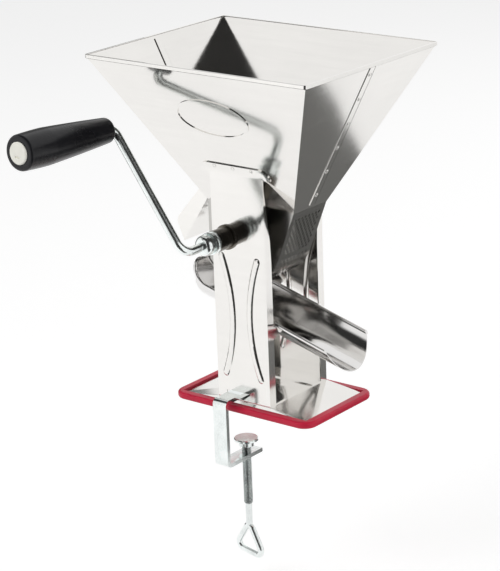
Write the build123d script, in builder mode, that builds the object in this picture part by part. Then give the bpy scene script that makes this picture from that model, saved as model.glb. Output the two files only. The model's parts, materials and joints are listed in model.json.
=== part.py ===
from build123d import *
import os
from math import asin, atan, atan2, cos, degrees, floor, hypot, radians, sin, sqrt

os.makedirs("parts", exist_ok=True)

# A hand-cranked tomato strainer with a screw clamp under its base. Millimetres.
# +X towards the juice lip, -Y towards the crank, +Z up. z = 0 is the underside of the base.

# ---------------------------------------------------------------- driving sizes
sheet = 0.8               # hopper and rotor chamber sheet
leg_sheet = 1.0
bead_r, bead_proud = 1.5, 0.9      # the hopper's rolled rim, and how far it stands out

rim_z = 303.5             # hopper mouth's height above z = 0
throat_z = 175.6          # where the four slopes end
throat_x, throat_y = 90.8, 45.4
wall_run = 0.525          # how far a wall leans out per mm of height, on all four sides
arch_rise = 15.0          # the front and rear walls are cut away in an arch above the chamber
arch_margin = 1.5         # sheet left between the arch's foot and the corner seam
lap = 4.0                 # how far the chamber's end plates lap inside the hopper
oval_z, oval_a, oval_b, oval_line, oval_rise = 259.5, 36.5, 19.5, 1.8, 0.7

axis_x, axis_z = -12.0, 151.6     # crank shaft
screen_x, screen_z = -12.5, 148.6  # the screen's arc stands a little below the shaft
screen_r = 42.6           # inside of the arc
screen_sheet = 0.7
lip_angle = 203.0         # where the arc ends, on the skins' side
hole_across, hole_pitch_y, hole_pitch_s = 2.2, 4.6, 3.0
hole_border = 3.2         # bare sheet at both sides of the screen
hole_start = 8.0          # bare sheet below the hopper
hole_end_angle = -64.0    # the last row on the arc

skin_drop, skin_reach = 41.4, 27.2   # the skin plate falls and reaches this far from the throat
skin_depth, skin_setback, skin_round = 16.8, 11.2, 8.0  # its two cheeks at their free end
skin_cheek_rise = 10.6    # how far up the hopper's wall they reach

leg_width, leg_face_y, flange_y = 55.0, 39.5, 31.4     # half the span over both legs' faces
flange_steps = ((8.0, 134.0), (7.0, 153.0), (2.1, 189.0), (0.8, 197.0))   # flange depth, height
tab_width, tab_height, tab_round = 71.0, 11.0, 9.0
rib_half_height, rib_sagitta, rib_mid_x, rib_mid_z = 51.5, 9.5, 9.0, 83.0
rib_width, rib_rise = 6.5, 1.3
foot_depth = 20.5         # the foot is turned in under the machine by this much

gasket_x, gasket_y, gasket_band, gasket_height = 145.2, 95.6, 7.0, 6.0
gasket_corner, gasket_round = 12.0, 2.2
plate_sheet, plate_rim_z, plate_bite = 1.0, 3.0, 4.0
shoulder_z, apex_z, skirt_lean = 8.6, 10.6, 1.2

shaft_r, running = 6.0, 0.05
rod_r, bend_r = 3.75, 11.0
bush_r, bush_flange_r, bush_flange, bush_end_y, spigot_r = 9.25, 10.7, 2.2, 57.0, 8.0
rear_bush_end_y = 44.0
nut_r, nut_length, neck_r, neck_length = 9.5, 6.0, 7.0, 2.4
collar_r, collar_length, collar_face_r = 8.8, 7.0, 5.6
crank_radius, crank_angle, arm_y, pin_bend_r = 118.0, 125.3, 96.0, 7.0
pin_splay = 2.4           # the grip leans away from the shaft by this angle
rod_in_shaft = 20.0

grip_start, grip_length = 8.0, 100.0
grip_r_small, grip_r_large, grip_r_end, grip_shoulder = 10.7, 15.4, 14.8, 0.72
grip_bore_gap, cup_r, cup_depth, grip_fillet = 0.08, 9.2, 9.0, 2.4
plug_proud, plug_length, plug_slot = 1.6, 5.0, (1.6, 5.6, 1.0)
pin_washer_r, pin_washer = 6.4, 1.2

core_r, end_gap = 27.0, 0.3        # end_gap: between pieces that turn and pieces that don't
blade_thick, blade_clear, blade_length, blade_travel, slot_gap = 5.0, 0.4, 25.5, 5.0, 0.15
spring_r, spring_wall, spring_foot, spring_y = 2.3, 0.8, 7.0, 10.0
thrust_r, thrust = 12.0, 0.9
clip_r, clip_thick, shaft_tail = 8.6, 1.4, 2.0

trough_half, trough_depth, trough_sheet = 28.5, 19.0, 0.8
trough_rim_z, trough_fall = 86.9, 0.28     # rim height over the origin, and fall per mm
lip_x, back_x, lip_slant = 77.0, -57.0, 1.0
back_top_z, back_corner, back_sweep = 121.0, 6.3, 15.0   # the wall at the back, and its rolled edge's bends
trough_bead_r = 1.6
lug_reach, lug_height, trough_gap = 6.4, 10.0, 0.35
ear_thick, ear_out, ear_drop = 1.4, 3.6, 7.0

strap_x, strap_width, strap_thick, strap_bend = -10.0, 14.0, 3.5, 5.0
strap_face_y, strap_low_z = 61.0, -46.0
strap_tail_y, strap_arm_y, strap_gap = 14.0, 14.0, 0.35
slot_left, slot_right, slot_over = 1.6, 9.0, 1.6
screw_y, screw_r, screw_wire_r = 27.0, 3.95, 2.8
thread_end_z, loop_top_z, loop_low_z, loop_half, loop_turn = -90.0, -108.0, -136.0, 19.3, -13.0
loop_corner = 5.0
pad_r, pad_plate, pad_boss_r, pad_boss, pad_z, pad_roof = 10.5, 2.2, 6.4, 5.0, -30.0, 1.0

# ---------------------------------------------------------------- shared geometry
wall_stretch = sqrt(1 + wall_run**2)
wall_level = sheet * wall_stretch          # the sheet's thickness measured level
mouth_x = throat_x + 2 * wall_run * (rim_z - throat_z)
mouth_y = throat_y + 2 * wall_run * (rim_z - throat_z)
plate_face_y = throat_y / 2 - wall_level   # outer face of a chamber end plate
plate_in_y = plate_face_y - sheet

shaft_axis = Axis((axis_x, 0, axis_z), (0, 1, 0))
shaft_plane = Plane(origin=(axis_x, 0, axis_z), x_dir=(1, 0, 0), z_dir=(0, 0, 1))  # local x is radius


def wall_y(z):
    """Distance from the middle plane to the outside of the front or rear hopper wall."""
    return throat_y / 2 + wall_run * (z - throat_z)


def front_wall_plane(z):
    """On the outside of the front wall, local y up the slope, local z outwards."""
    return Plane(origin=(0, -wall_y(z), z), x_dir=(1, 0, 0), z_dir=(0, -1, -wall_run))


def on_arc(radius, angle):
    """A point of the screen's arc, in the XZ plane."""
    return (screen_x + radius * cos(radians(angle)), screen_z + radius * sin(radians(angle)))


# The screen leaves the throat's right edge in a straight line that runs tangent into its arc.
screen_top = (throat_x / 2 - wall_level, throat_z)
to_top = (screen_top[0] - screen_x, screen_top[1] - screen_z)
tangent_angle = degrees(atan2(to_top[1], to_top[0])) - degrees(
    atan2(sqrt(hypot(*to_top) ** 2 - screen_r**2), screen_r))
tangent = on_arc(screen_r, tangent_angle)
arc_middle_angle = (tangent_angle + lip_angle - 360) / 2
straight_length = hypot(screen_top[0] - tangent[0], screen_top[1] - tangent[1])
screen_lip = on_arc(screen_r, lip_angle)

# The skin plate starts at the throat's left edge.
skin_top = (-throat_x / 2, throat_z)
skin_end = (skin_top[0] - skin_reach, skin_top[1] - skin_drop)
skin_length = hypot(skin_reach, skin_drop)
skin_out = (-skin_drop / skin_length, skin_reach / skin_length)   # away from the chamber
skin_line_z = skin_top[1] - (skin_top[0] - screen_lip[0]) * skin_drop / skin_reach

# ---------------------------------------------------------------- hopper
with BuildPart() as hopper:
    # All four walls lean out alike, so a tapered extrusion makes the outside and then the inside.
    over = 2.0                             # the inside is cut a little past both ends
    inside = wall_level + wall_run * over
    for low, high, inset, mode in ((throat_z, rim_z, 0, Mode.ADD),
                                   (throat_z - over, rim_z + over, inside, Mode.SUBTRACT)):
        with BuildSketch(Plane.XY.offset(low)):
            Rectangle(throat_x - 2 * inset, throat_y - 2 * inset)
        extrude(amount=high - low, taper=-degrees(atan(wall_run)), mode=mode)
    arch_half = throat_x / 2 - wall_level - arch_margin
    with BuildSketch(Plane.XZ):
        with BuildLine():
            ThreePointArc((-arch_half, throat_z), (0, throat_z + arch_rise), (arch_half, throat_z))
            Polyline((arch_half, throat_z), (arch_half, throat_z - over), (-arch_half, throat_z - over),
                     (-arch_half, throat_z))
        make_face()
    extrude(amount=mouth_y, both=True, mode=Mode.SUBTRACT)
    with BuildSketch(Plane.XY.offset(rim_z - bead_r)):
        RectangleRounded(mouth_x + 2 * bead_proud, mouth_y + 2 * bead_proud, 2 * bead_r)
        Rectangle(mouth_x - 2 * wall_level, mouth_y - 2 * wall_level, mode=Mode.SUBTRACT)
    extrude(amount=2 * bead_r)
    fillet(hopper.edges().group_by(Axis.Z)[-1], bead_proud / 2)
    with BuildSketch(front_wall_plane(oval_z)):
        Ellipse(oval_a, oval_b)
        Ellipse(oval_a - oval_line, oval_b - oval_line, mode=Mode.SUBTRACT)
    extrude(amount=oval_rise)

# ---------------------------------------------------------------- rotor chamber
chamber_right = (screen_top, tangent)
with BuildPart() as chamber_front_plate:
    flange_z = throat_z + arch_rise + lap
    with BuildSketch(Plane.YZ):
        Polygon((-plate_face_y, screen_z - screen_r), (-plate_in_y, screen_z - screen_r),
                (-plate_in_y, throat_z), (-plate_in_y - wall_run * (flange_z - throat_z), flange_z),
                (-plate_face_y - wall_run * (flange_z - throat_z), flange_z), (-plate_face_y, throat_z),
                align=None)
    extrude(amount=throat_x / 2, both=True)
    with BuildSketch(Plane.XZ):
        with BuildLine():
            Line(screen_top, tangent)
            ThreePointArc(tangent, on_arc(screen_r, arc_middle_angle), screen_lip)
            Polyline(screen_lip, (screen_lip[0], skin_line_z), (-screen_top[0], throat_z),
                     (-arch_half + lap, throat_z + lap))
            ThreePointArc((-arch_half + lap, throat_z + lap), (0, flange_z), (arch_half - lap, throat_z + lap))
            Line((arch_half - lap, throat_z + lap), screen_top)
        make_face()
        with Locations((axis_x, axis_z)):
            Circle(shaft_r + 0.6, mode=Mode.SUBTRACT)
    extrude(amount=mouth_y, both=True, mode=Mode.INTERSECT)

with BuildPart() as chamber_rear_plate:
    mirror(chamber_front_plate.part, about=Plane.XZ)

with BuildPart() as screen:
    outer_r = screen_r + screen_sheet
    lean = (tangent[0] - screen_top[0], tangent[1] - screen_top[1])
    outward = (-lean[1] / straight_length, lean[0] / straight_length)
    tangent_out = (tangent[0] + outward[0] * screen_sheet, tangent[1] + outward[1] * screen_sheet)
    top_out = (screen_top[0] + screen_sheet / outward[0], throat_z)
    with BuildSketch(Plane.XZ):
        with BuildLine():
            Line(screen_top, tangent)
            ThreePointArc(tangent, on_arc(screen_r, arc_middle_angle), screen_lip)
            Line(screen_lip, on_arc(outer_r, lip_angle))
            ThreePointArc(on_arc(outer_r, lip_angle), on_arc(outer_r, arc_middle_angle), tangent_out)
            Polyline(tangent_out, top_out, screen_top)
        make_face()
    extrude(amount=throat_y / 2, both=True)
    # Staggered rows of square holes set on their corners, down the straight and round the arc.
    arc_step = degrees(hole_pitch_s / screen_r)
    flat_rows = floor((straight_length - hole_start) / hole_pitch_s)
    arc_rows = floor((tangent_angle - hole_end_angle) / arc_step)
    columns = floor((throat_y - 2 * hole_border) / hole_pitch_y)

    row_planes = []
    for row in range(flat_rows):
        down = (hole_start + row * hole_pitch_s) / straight_length
        row_planes.append(Plane(origin=(screen_top[0] + lean[0] * down, 0, screen_top[1] + lean[1] * down),
                                x_dir=(0, 1, 0), z_dir=(outward[0], 0, outward[1])))
    for row in range(arc_rows):
        angle = tangent_angle - (row + 0.5) * arc_step
        spot = on_arc(screen_r, angle)
        row_planes.append(Plane(origin=(spot[0], 0, spot[1]), x_dir=(0, 1, 0),
                                z_dir=(cos(radians(angle)), 0, sin(radians(angle)))))
    for stagger in (0, 1):
        with BuildSketch(*row_planes[stagger::2]):
            with GridLocations(hole_pitch_y, 1, columns - stagger, 1):
                Rectangle(hole_across, hole_across, rotation=45)
        extrude(amount=screen_sheet * 2, both=True, mode=Mode.SUBTRACT)

with BuildPart() as skin_chute:
    # The cheeks rise from the plate and butt against the hopper's left wall.
    along = (-skin_reach / skin_length, -skin_drop / skin_length)
    cheek_corner = (skin_end[0] + skin_out[0] * skin_depth - along[0] * skin_setback,
                    skin_end[1] + skin_out[1] * skin_depth - along[1] * skin_setback)
    cheek_top = (-throat_x / 2 - wall_run * skin_cheek_rise, throat_z + skin_cheek_rise)
    with BuildSketch(Plane.XZ.offset(throat_y / 2 - sheet)) as cheek:
        Polygon(skin_top, skin_end, cheek_corner, cheek_top, align=None)
        fillet(cheek.vertices().sort_by(Axis.X)[0], skin_round)
    extrude(amount=sheet)
    mirror(about=Plane.XZ)
    with BuildSketch(Plane.XZ):
        Polygon(skin_top, skin_end,
                (skin_end[0] + skin_out[0] * sheet, skin_end[1] + skin_out[1] * sheet),
                (skin_top[0] + skin_out[0] * sheet, skin_top[1] + skin_out[1] * sheet), align=None)
    extrude(amount=throat_y / 2, both=True)

# ---------------------------------------------------------------- base
def facet_z(y):
    """Height of the base plate's top on its front and rear facets."""
    shoulder_y = gasket_y / 2 - gasket_band - skirt_lean
    return apex_z - abs(y) * (apex_z - shoulder_z) / shoulder_y


skirt_x, skirt_y = gasket_x - 2 * gasket_band, gasket_y - 2 * gasket_band
plate_edge_x = gasket_x - 2 * (gasket_band - plate_bite)
plate_edge_y = gasket_y - 2 * (gasket_band - plate_bite)
plate_top_z = plate_rim_z + plate_sheet



def pressing(inset):
    """The plate's middle as a block: a leaning skirt under a flat pyramid with corner-to-corner creases."""
    with BuildPart() as block:
        with BuildSketch(Plane.XY.offset(plate_rim_z)):
            Rectangle(skirt_x - 2 * inset, skirt_y - 2 * inset)
        extrude(amount=apex_z - plate_rim_z, taper=degrees(atan(skirt_lean / (shoulder_z - plate_rim_z))))
        for plane, half, reach in ((Plane.YZ, skirt_y / 2 - skirt_lean, skirt_x),
                                   (Plane.XZ, skirt_x / 2 - skirt_lean, skirt_y)):
            with BuildSketch(plane):
                Polygon((-half, shoulder_z - inset), (0, apex_z - inset), (half, shoulder_z - inset),
                        (2 * half, shoulder_z - inset), (2 * half, 0), (-2 * half, 0),
                        (-2 * half, shoulder_z - inset), align=None)
            extrude(amount=reach, both=True, mode=Mode.INTERSECT)
    return block.part


with BuildPart() as base_plate:
    # A rim seated in the gasket, a leaning skirt and a very flat pyramid, pressed from one sheet.
    with BuildSketch(Plane.XY.offset(plate_rim_z)):
        RectangleRounded(plate_edge_x, plate_edge_y, gasket_corner - gasket_band + plate_bite)
    extrude(amount=plate_sheet)
    add(pressing(0))
    add(pressing(plate_sheet), mode=Mode.SUBTRACT)

with BuildPart() as gasket:
    with BuildSketch():
        RectangleRounded(gasket_x, gasket_y, gasket_corner)
        Rectangle(skirt_x, skirt_y, mode=Mode.SUBTRACT)
    extrude(amount=gasket_height)
    outer_edges = gasket.edges().filter_by(Plane.XY).filter_by(
        lambda e: hypot(e.center().X / skirt_x, e.center().Y / skirt_y) > 0.5 and (
            abs(e.center().X) > plate_edge_x / 2 - 3 or abs(e.center().Y) > plate_edge_y / 2 - 1))
    fillet(outer_edges, gasket_round)
    with BuildSketch(Plane.XY.offset(plate_rim_z)):
        RectangleRounded(plate_edge_x, plate_edge_y, gasket_corner - gasket_band + plate_bite)
    extrude(amount=plate_sheet, mode=Mode.SUBTRACT)

# ---------------------------------------------------------------- juice chute's frame
trough_r = (trough_half**2 + trough_depth**2) / (2 * trough_depth)
trough_centre = trough_r - trough_depth          # the arc's centre above the rim line
trough_out_r = trough_r + trough_sheet
fall_angle = atan(trough_fall)
down_chute = (cos(fall_angle), 0, -sin(fall_angle))
off_chute = (sin(fall_angle), 0, cos(fall_angle))  # square to the rims, upwards


def chute_section(x):
    """A plane square to the chute where its rim line passes x; local x along Y, local y off the rims."""
    return Plane(origin=(x, 0, trough_rim_z - trough_fall * x), x_dir=(0, 1, 0), z_dir=down_chute)


# ---------------------------------------------------------------- legs
bend_in_z = throat_z + (leg_face_y - leg_sheet - throat_y / 2) / wall_run
tab_plane = Plane(origin=(0, -(leg_face_y - leg_sheet), bend_in_z), x_dir=(1, 0, 0), z_dir=(0, -1, -wall_run))
web_low_z = facet_z(leg_face_y - leg_sheet)
rib_r = (rib_half_height**2 + rib_sagitta**2) / (2 * rib_sagitta)
rib_tube_r = ((rib_width / 2) ** 2 + rib_rise**2) / (2 * rib_rise)
rib_sunk = rib_tube_r - rib_rise


def rib_pair(tube_r):
    """Two bent round bars with ball ends, sunk behind the leg's face: the pressing's outside or inside."""
    with BuildPart() as bars:
        for side in (1, -1):
            ends = [(side * (rib_mid_x + rib_sagitta), rib_mid_z + level) for level in
                    (-rib_half_height, rib_half_height)]
            depth = -leg_face_y + rib_sunk
            with BuildLine(Plane.XZ.offset(-depth)) as path:
                ThreePointArc(ends[0], (side * rib_mid_x, rib_mid_z), ends[1])
            with BuildSketch(Plane(origin=path.line @ 0, z_dir=path.line % 0)):
                Circle(tube_r)
            sweep(path=path.line)
            with Locations(*[(x, depth, z) for x, z in ends]):
                Sphere(tube_r)
    return bars.part


rib_slab = Location((0, -leg_face_y - 4.5, rib_mid_z)) * Box(leg_width, 10, 4 * rib_half_height)
rib_outside = rib_pair(rib_tube_r) & rib_slab
rib_inside = rib_pair(rib_tube_r - leg_sheet)

with BuildPart() as leg_blank:
    with BuildSketch(Plane.XZ.offset(leg_face_y - leg_sheet)):
        with Locations((0, (web_low_z + bend_in_z) / 2)):
            Rectangle(leg_width, bend_in_z - web_low_z)
    extrude(amount=leg_sheet)
    with BuildSketch(tab_plane) as tab:
        with Locations((0, tab_height / 2)):
            Rectangle(tab_width, tab_height)
        fillet(tab.vertices().group_by(Axis.Y)[-1], tab_round)
    extrude(amount=leg_sheet)
    flange_low = (flange_steps[0][0], facet_z(leg_face_y - flange_steps[0][0]))
    flange = [(-leg_face_y, web_low_z), *[(-leg_face_y + deep, z) for deep, z in (flange_low, *flange_steps)],
              (-leg_face_y, flange_steps[-1][1])]
    for side in (1, -1):
        with BuildSketch(Plane.YZ.offset(side * (leg_width - leg_sheet) / 2)):
            Polygon(*flange, align=None)
        extrude(amount=leg_sheet / 2, both=True)
        # A lug under the chute's rolled rim, its edge kept clear of the trough's side.
        lug_x = side * (leg_width - leg_sheet) / 2
        rim_here = trough_rim_z - trough_fall * lug_x - trough_fall * leg_sheet / 2
        under = (trough_bead_r + trough_gap) / cos(fall_angle)
        lug_y = flange_y - lug_reach
        lug_tip = (sqrt(trough_out_r**2 - lug_y**2) - trough_centre + 2 * trough_gap) / cos(fall_angle)
        with BuildSketch(Plane.YZ.offset(lug_x)):
            Polygon((-flange_y - 1, rim_here - under), (-trough_half - trough_bead_r * 0.7, rim_here - under),
                    (-lug_y, rim_here - lug_tip), (-lug_y, rim_here - lug_tip - 1.5),
                    (-flange_y - 1, rim_here - under - lug_height), align=None)
        extrude(amount=leg_sheet / 2, both=True)
    # The foot lies on the base plate's facet.
    with BuildSketch(Plane.YZ):
        Polygon((-leg_face_y, facet_z(leg_face_y)), (-leg_face_y, facet_z(leg_face_y) + leg_sheet),
                (-leg_face_y + foot_depth, facet_z(leg_face_y - foot_depth) + leg_sheet),
                (-leg_face_y + foot_depth, facet_z(leg_face_y - foot_depth)), align=None)
    extrude(amount=leg_width / 2, both=True)
    add(rib_outside)
    add(rib_inside, mode=Mode.SUBTRACT)
    with BuildSketch(Plane.XZ.offset(leg_face_y - 2 * leg_sheet)):
        with Locations((axis_x, axis_z)):
            Circle(spigot_r)
    extrude(amount=3 * leg_sheet, mode=Mode.SUBTRACT)

foot_top_z = facet_z(leg_face_y - foot_depth) + leg_sheet
strap_arm_z = foot_top_z + strap_gap              # underside of the clamp's upper arm

with BuildPart() as front_leg:
    add(leg_blank.part)
    slot_low, slot_high = web_low_z + leg_sheet, strap_arm_z + strap_thick + slot_over
    slot_x = (strap_x - strap_width / 2 - slot_left, strap_x + strap_width / 2 + slot_right)
    with BuildSketch(Plane.XZ.offset(leg_face_y - 2 * leg_sheet)):
        with Locations((sum(slot_x) / 2, (slot_low + slot_high) / 2)):
            Rectangle(slot_x[1] - slot_x[0], slot_high - slot_low)
    extrude(amount=3 * leg_sheet, mode=Mode.SUBTRACT)

with BuildPart() as rear_leg:
    mirror(leg_blank.part, about=Plane.XZ)

# ---------------------------------------------------------------- juice chute
far_x = lip_x + 2 * trough_depth
back_rim_z = trough_rim_z - trough_fall * back_x
trough_length = (far_x - back_x) / cos(fall_angle) + trough_depth
trough_start = chute_section(back_x - trough_depth / 2)

with BuildPart() as trough_block:
    with BuildSketch(trough_start):
        with BuildLine():
            ThreePointArc((-trough_half - trough_sheet, 0), (0, -trough_depth - trough_sheet),
                          (trough_half + trough_sheet, 0))
            Line((trough_half + trough_sheet, 0), (-trough_half - trough_sheet, 0))
        make_face()
    extrude(amount=trough_length)
    # The back is cut upright.
    with BuildSketch(Plane.XZ):
        with Locations((back_x - 50, back_rim_z)):
            Rectangle(100, 200)
    extrude(amount=2 * trough_half, both=True, mode=Mode.SUBTRACT)

with BuildPart() as juice_chute:
    add(trough_block.part)
    with BuildSketch(trough_start):
        with BuildLine():
            ThreePointArc((-trough_half, 0), (0, -trough_depth), (trough_half, 0))
            Line((trough_half, 0), (-trough_half, 0))
        make_face()
    extrude(amount=trough_length, mode=Mode.SUBTRACT)
    with BuildSketch(Plane.YZ.offset(back_x)) as back:
        with Locations((0, (back_rim_z - trough_sheet + back_top_z) / 2)):
            Rectangle(2 * (trough_half + trough_sheet / 2), back_top_z - back_rim_z + trough_sheet)
        fillet(back.vertices().group_by(Axis.Y)[-1], back_corner)
    extrude(amount=trough_sheet)
    with BuildSketch(Plane.YZ.offset(back_x)):
        with Locations((0, back_rim_z - trough_depth)):
            Rectangle(3 * trough_half, 2 * trough_depth)
    add(extrude(amount=trough_sheet, mode=Mode.PRIVATE) & trough_block.part)
    # A gusset each side, where the rolled edge sweeps up from the rim to the back wall.
    turn = radians(90) - fall_angle
    foot = back_sweep * sin(turn / 2) / cos(turn / 2)
    edge_x, edge_y = back_x + trough_sheet / 2, trough_half + trough_sheet / 2
    corner = (edge_x, trough_rim_z - trough_fall * edge_x)
    sweep_depth = back_sweep / cos(turn / 2) - back_sweep
    halfway = (radians(90) - fall_angle) / 2
    with BuildSketch(Plane.XZ.offset(-edge_y - trough_sheet / 2)):
        with BuildLine():
            ends = ((corner[0] + foot * down_chute[0], corner[1] + foot * down_chute[2]),
                    (corner[0], corner[1] + foot))
            ThreePointArc(ends[0], (corner[0] + sweep_depth * cos(halfway), corner[1] + sweep_depth * sin(halfway)),
                          ends[1])
            Polyline(ends[1], (corner[0], corner[1] - trough_sheet),
                     (ends[0][0], ends[0][1] - trough_sheet), ends[0])
        make_face()
    gusset = extrude(amount=trough_sheet)
    mirror(gusset, about=Plane.XZ)
    # One rolled edge runs up one rim, round the back wall's top and down the other rim.
    with BuildLine() as edge:
        FilletPolyline(*[(x, side * edge_y, z) for side, places in (
            (-1, ((far_x, trough_rim_z - trough_fall * far_x), corner, (edge_x, back_top_z))),
            (1, ((edge_x, back_top_z), corner, (far_x, trough_rim_z - trough_fall * far_x))))
            for x, z in places], radius=(back_sweep, back_corner, back_corner, back_sweep))
    with BuildSketch(Plane(origin=edge.line @ 0, z_dir=edge.line % 0)):
        Circle(trough_bead_r)
    sweep(path=edge.line)
    # The lip slants forward below the rim line.
    lip_z = trough_rim_z - trough_fall * lip_x
    with BuildSketch(Plane.XZ):
        Polygon((lip_x - 10 * lip_slant, lip_z + 10), (lip_x + 60 * lip_slant, lip_z - 60),
                (lip_x + 160, lip_z - 60), (lip_x + 160, lip_z + 10), align=None)
    extrude(amount=2 * trough_half, both=True, mode=Mode.SUBTRACT)
    # Two ears stop against the legs' left flanges and keep the chute from sliding out.
    ear_x = -leg_width / 2 - end_gap - ear_thick
    with BuildSketch(chute_section(ear_x)):
        for side in (1, -1):
            with Locations((side * (trough_half + ear_out / 2 + 0.4), -ear_drop / 2)):
                Rectangle(ear_out, ear_drop)
    extrude(amount=ear_thick)
    with BuildSketch(chute_section(ear_x)):
        with BuildLine():
            ThreePointArc((-trough_half, 0), (0, -trough_depth), (trough_half, 0))
            Line((trough_half, 0), (-trough_half, 0))
        make_face()
    extrude(amount=ear_thick, mode=Mode.SUBTRACT)


# ---------------------------------------------------------------- bushes
def turned(points, about=shaft_axis):
    """Spin a profile of (radius, distance along +Y) points round the crank shaft."""
    with BuildPart() as piece:
        with BuildSketch(Plane(origin=(axis_x, 0, axis_z), x_dir=(1, 0, 0), z_dir=(0, 0, 1))):
            Polygon(*points, align=None)
        revolve(axis=about)
    return piece.part


bore_r = shaft_r + running


def bush_part(end_y):
    """A bush for the rear; its inner end butts against the chamber's end plate."""
    return turned([(bore_r, plate_face_y), (spigot_r, plate_face_y), (spigot_r, leg_face_y),
                   (bush_flange_r, leg_face_y), (bush_flange_r, leg_face_y + bush_flange - 0.5),
                   (bush_flange_r - 0.5, leg_face_y + bush_flange), (bush_r, leg_face_y + bush_flange),
                   (bush_r, end_y - 0.6), (bush_r - 0.6, end_y), (bore_r, end_y)])


with BuildPart() as front_bush:
    mirror(bush_part(bush_end_y), about=Plane.XZ)

with BuildPart() as rear_bush:
    add(bush_part(rear_bush_end_y))

# ---------------------------------------------------------------- rotor
core_half = plate_in_y - end_gap - thrust
blade_half = core_half - blade_clear
blade_nearest = hypot(throat_x / 2 - wall_level + axis_x, throat_z - axis_z)   # the throat's left corner
blade_tip = blade_nearest - blade_clear
blade_root = blade_tip - blade_length
slot_floor = blade_root - blade_travel - end_gap
nut_start = bush_end_y + end_gap
nut_end = nut_start + nut_length
collar_start = nut_end + neck_length
collar_end = collar_start + collar_length
shaft_front = collar_start + collar_length / 2
shaft_rear = rear_bush_end_y + end_gap + clip_thick + shaft_tail
rod_start = shaft_front - rod_in_shaft

with BuildPart() as rotor_core:
    with BuildSketch(Plane.XZ.offset(-core_half)):
        with Locations((axis_x, axis_z)):
            Circle(core_r)
            Circle(shaft_r, mode=Mode.SUBTRACT)
    extrude(amount=2 * core_half)
    chamfer(rotor_core.edges().filter_by(GeomType.CIRCLE).sort_by(lambda e: -e.radius)[:2], 0.8)
    for side in (1, -1):
        with BuildSketch(Plane.XY.offset(axis_z + side * slot_floor)):
            with Locations((axis_x, 0)):
                Rectangle(blade_thick + 2 * slot_gap, 4 * core_half)
        extrude(amount=side * core_r, mode=Mode.SUBTRACT)
        with BuildSketch(Plane.XY.offset(axis_z + side * spring_foot)):
            with Locations((axis_x, spring_y), (axis_x, -spring_y)):
                Circle(spring_r + slot_gap)
        extrude(amount=side * core_r, mode=Mode.SUBTRACT)

with BuildPart() as rotor_shaft:
    add(turned([(0, -shaft_front), (shaft_r, -shaft_front), (shaft_r, shaft_rear - 0.8),
                (shaft_r - 0.8, shaft_rear), (0, shaft_rear)]))
    with BuildSketch(Plane.XZ.offset(shaft_front)):
        with Locations((axis_x, axis_z)):
            Circle(rod_r)
    extrude(amount=-rod_in_shaft, mode=Mode.SUBTRACT)


def blade(side):
    with BuildPart() as wiper:
        with BuildSketch(Plane.XZ.offset(-blade_half)) as section:
            with Locations((axis_x, axis_z + side * (blade_tip + blade_root) / 2)):
                Rectangle(blade_thick, blade_length)
            fillet(section.vertices().sort_by(lambda v: -side * v.Y)[:2], blade_thick / 2 - 0.4)
        extrude(amount=2 * blade_half)
    return wiper.part


def blade_springs(side):
    """Two sleeves standing for coil springs, between the core's pockets and the blade's root."""
    with BuildPart() as pair:
        with BuildSketch(Plane.XY.offset(axis_z + side * spring_foot)):
            with Locations((axis_x, spring_y), (axis_x, -spring_y)):
                Circle(spring_r)
                Circle(spring_r - spring_wall, mode=Mode.SUBTRACT)
        extrude(amount=side * (blade_root - spring_foot))
    return pair.part


with BuildPart() as upper_blade:
    add(blade(1))
with BuildPart() as lower_blade:
    add(blade(-1))
with BuildPart() as upper_springs:
    add(blade_springs(1))
with BuildPart() as lower_springs:
    add(blade_springs(-1))

with BuildPart() as front_seal:
    add(turned([(shaft_r, -core_half - thrust), (thrust_r, -core_half - thrust), (thrust_r, -core_half),
                (shaft_r, -core_half)]))
with BuildPart() as rear_seal:
    mirror(front_seal.part, about=Plane.XZ)
with BuildPart() as shaft_clip:
    clip_y = rear_bush_end_y + end_gap
    add(turned([(shaft_r, clip_y), (clip_r, clip_y), (clip_r, clip_y + clip_thick),
                (shaft_r, clip_y + clip_thick)]))

# ---------------------------------------------------------------- crank
with BuildPart() as ring_nut:
    groove, third = 0.9, nut_length / 3
    add(turned([(shaft_r, -nut_start), (nut_r - 0.4, -nut_start), (nut_r, -nut_start - 0.4),
                (nut_r, -nut_start - third), (nut_r - groove, -nut_start - third - 0.4),
                (nut_r - groove, -nut_end + third + 0.4), (nut_r, -nut_end + third), (nut_r, -nut_end + 0.4),
                (nut_r - 0.4, -nut_end), (shaft_r, -nut_end)]))

with BuildPart() as crank_collar:
    with BuildSketch(shaft_plane):
        with BuildLine():
            Polyline((shaft_r, -nut_end), (neck_r, -nut_end), (neck_r, -collar_start),
                     (collar_r - 0.8, -collar_start), (collar_r, -collar_start - 0.8),
                     (collar_r, -collar_start - 2.4))
            ThreePointArc((collar_r, -collar_start - 2.4), (collar_r - 1.1, -collar_end + 1.3),
                          (collar_face_r, -collar_end))
            Polyline((collar_face_r, -collar_end), (rod_r, -collar_end), (rod_r, -shaft_front),
                     (shaft_r, -shaft_front), (shaft_r, -nut_end))
        make_face()
    revolve(axis=shaft_axis)

# The crank's plane: local x along the arm, local y outwards along -Y.
arm = (cos(radians(crank_angle)), sin(radians(crank_angle)))
crank_plane = Plane(origin=(axis_x, 0, axis_z), x_dir=(arm[0], 0, arm[1]), z_dir=(arm[1], 0, -arm[0]))
pin = (sin(radians(pin_splay)), cos(radians(pin_splay)))
grip_end = grip_start + grip_length
cup_floor = grip_end - cup_depth
washer_start = cup_floor + end_gap
pin_length = washer_start + pin_washer + 0.8


def on_pin(along):
    return (crank_radius + pin[0] * along, arm_y + pin[1] * along)


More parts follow.
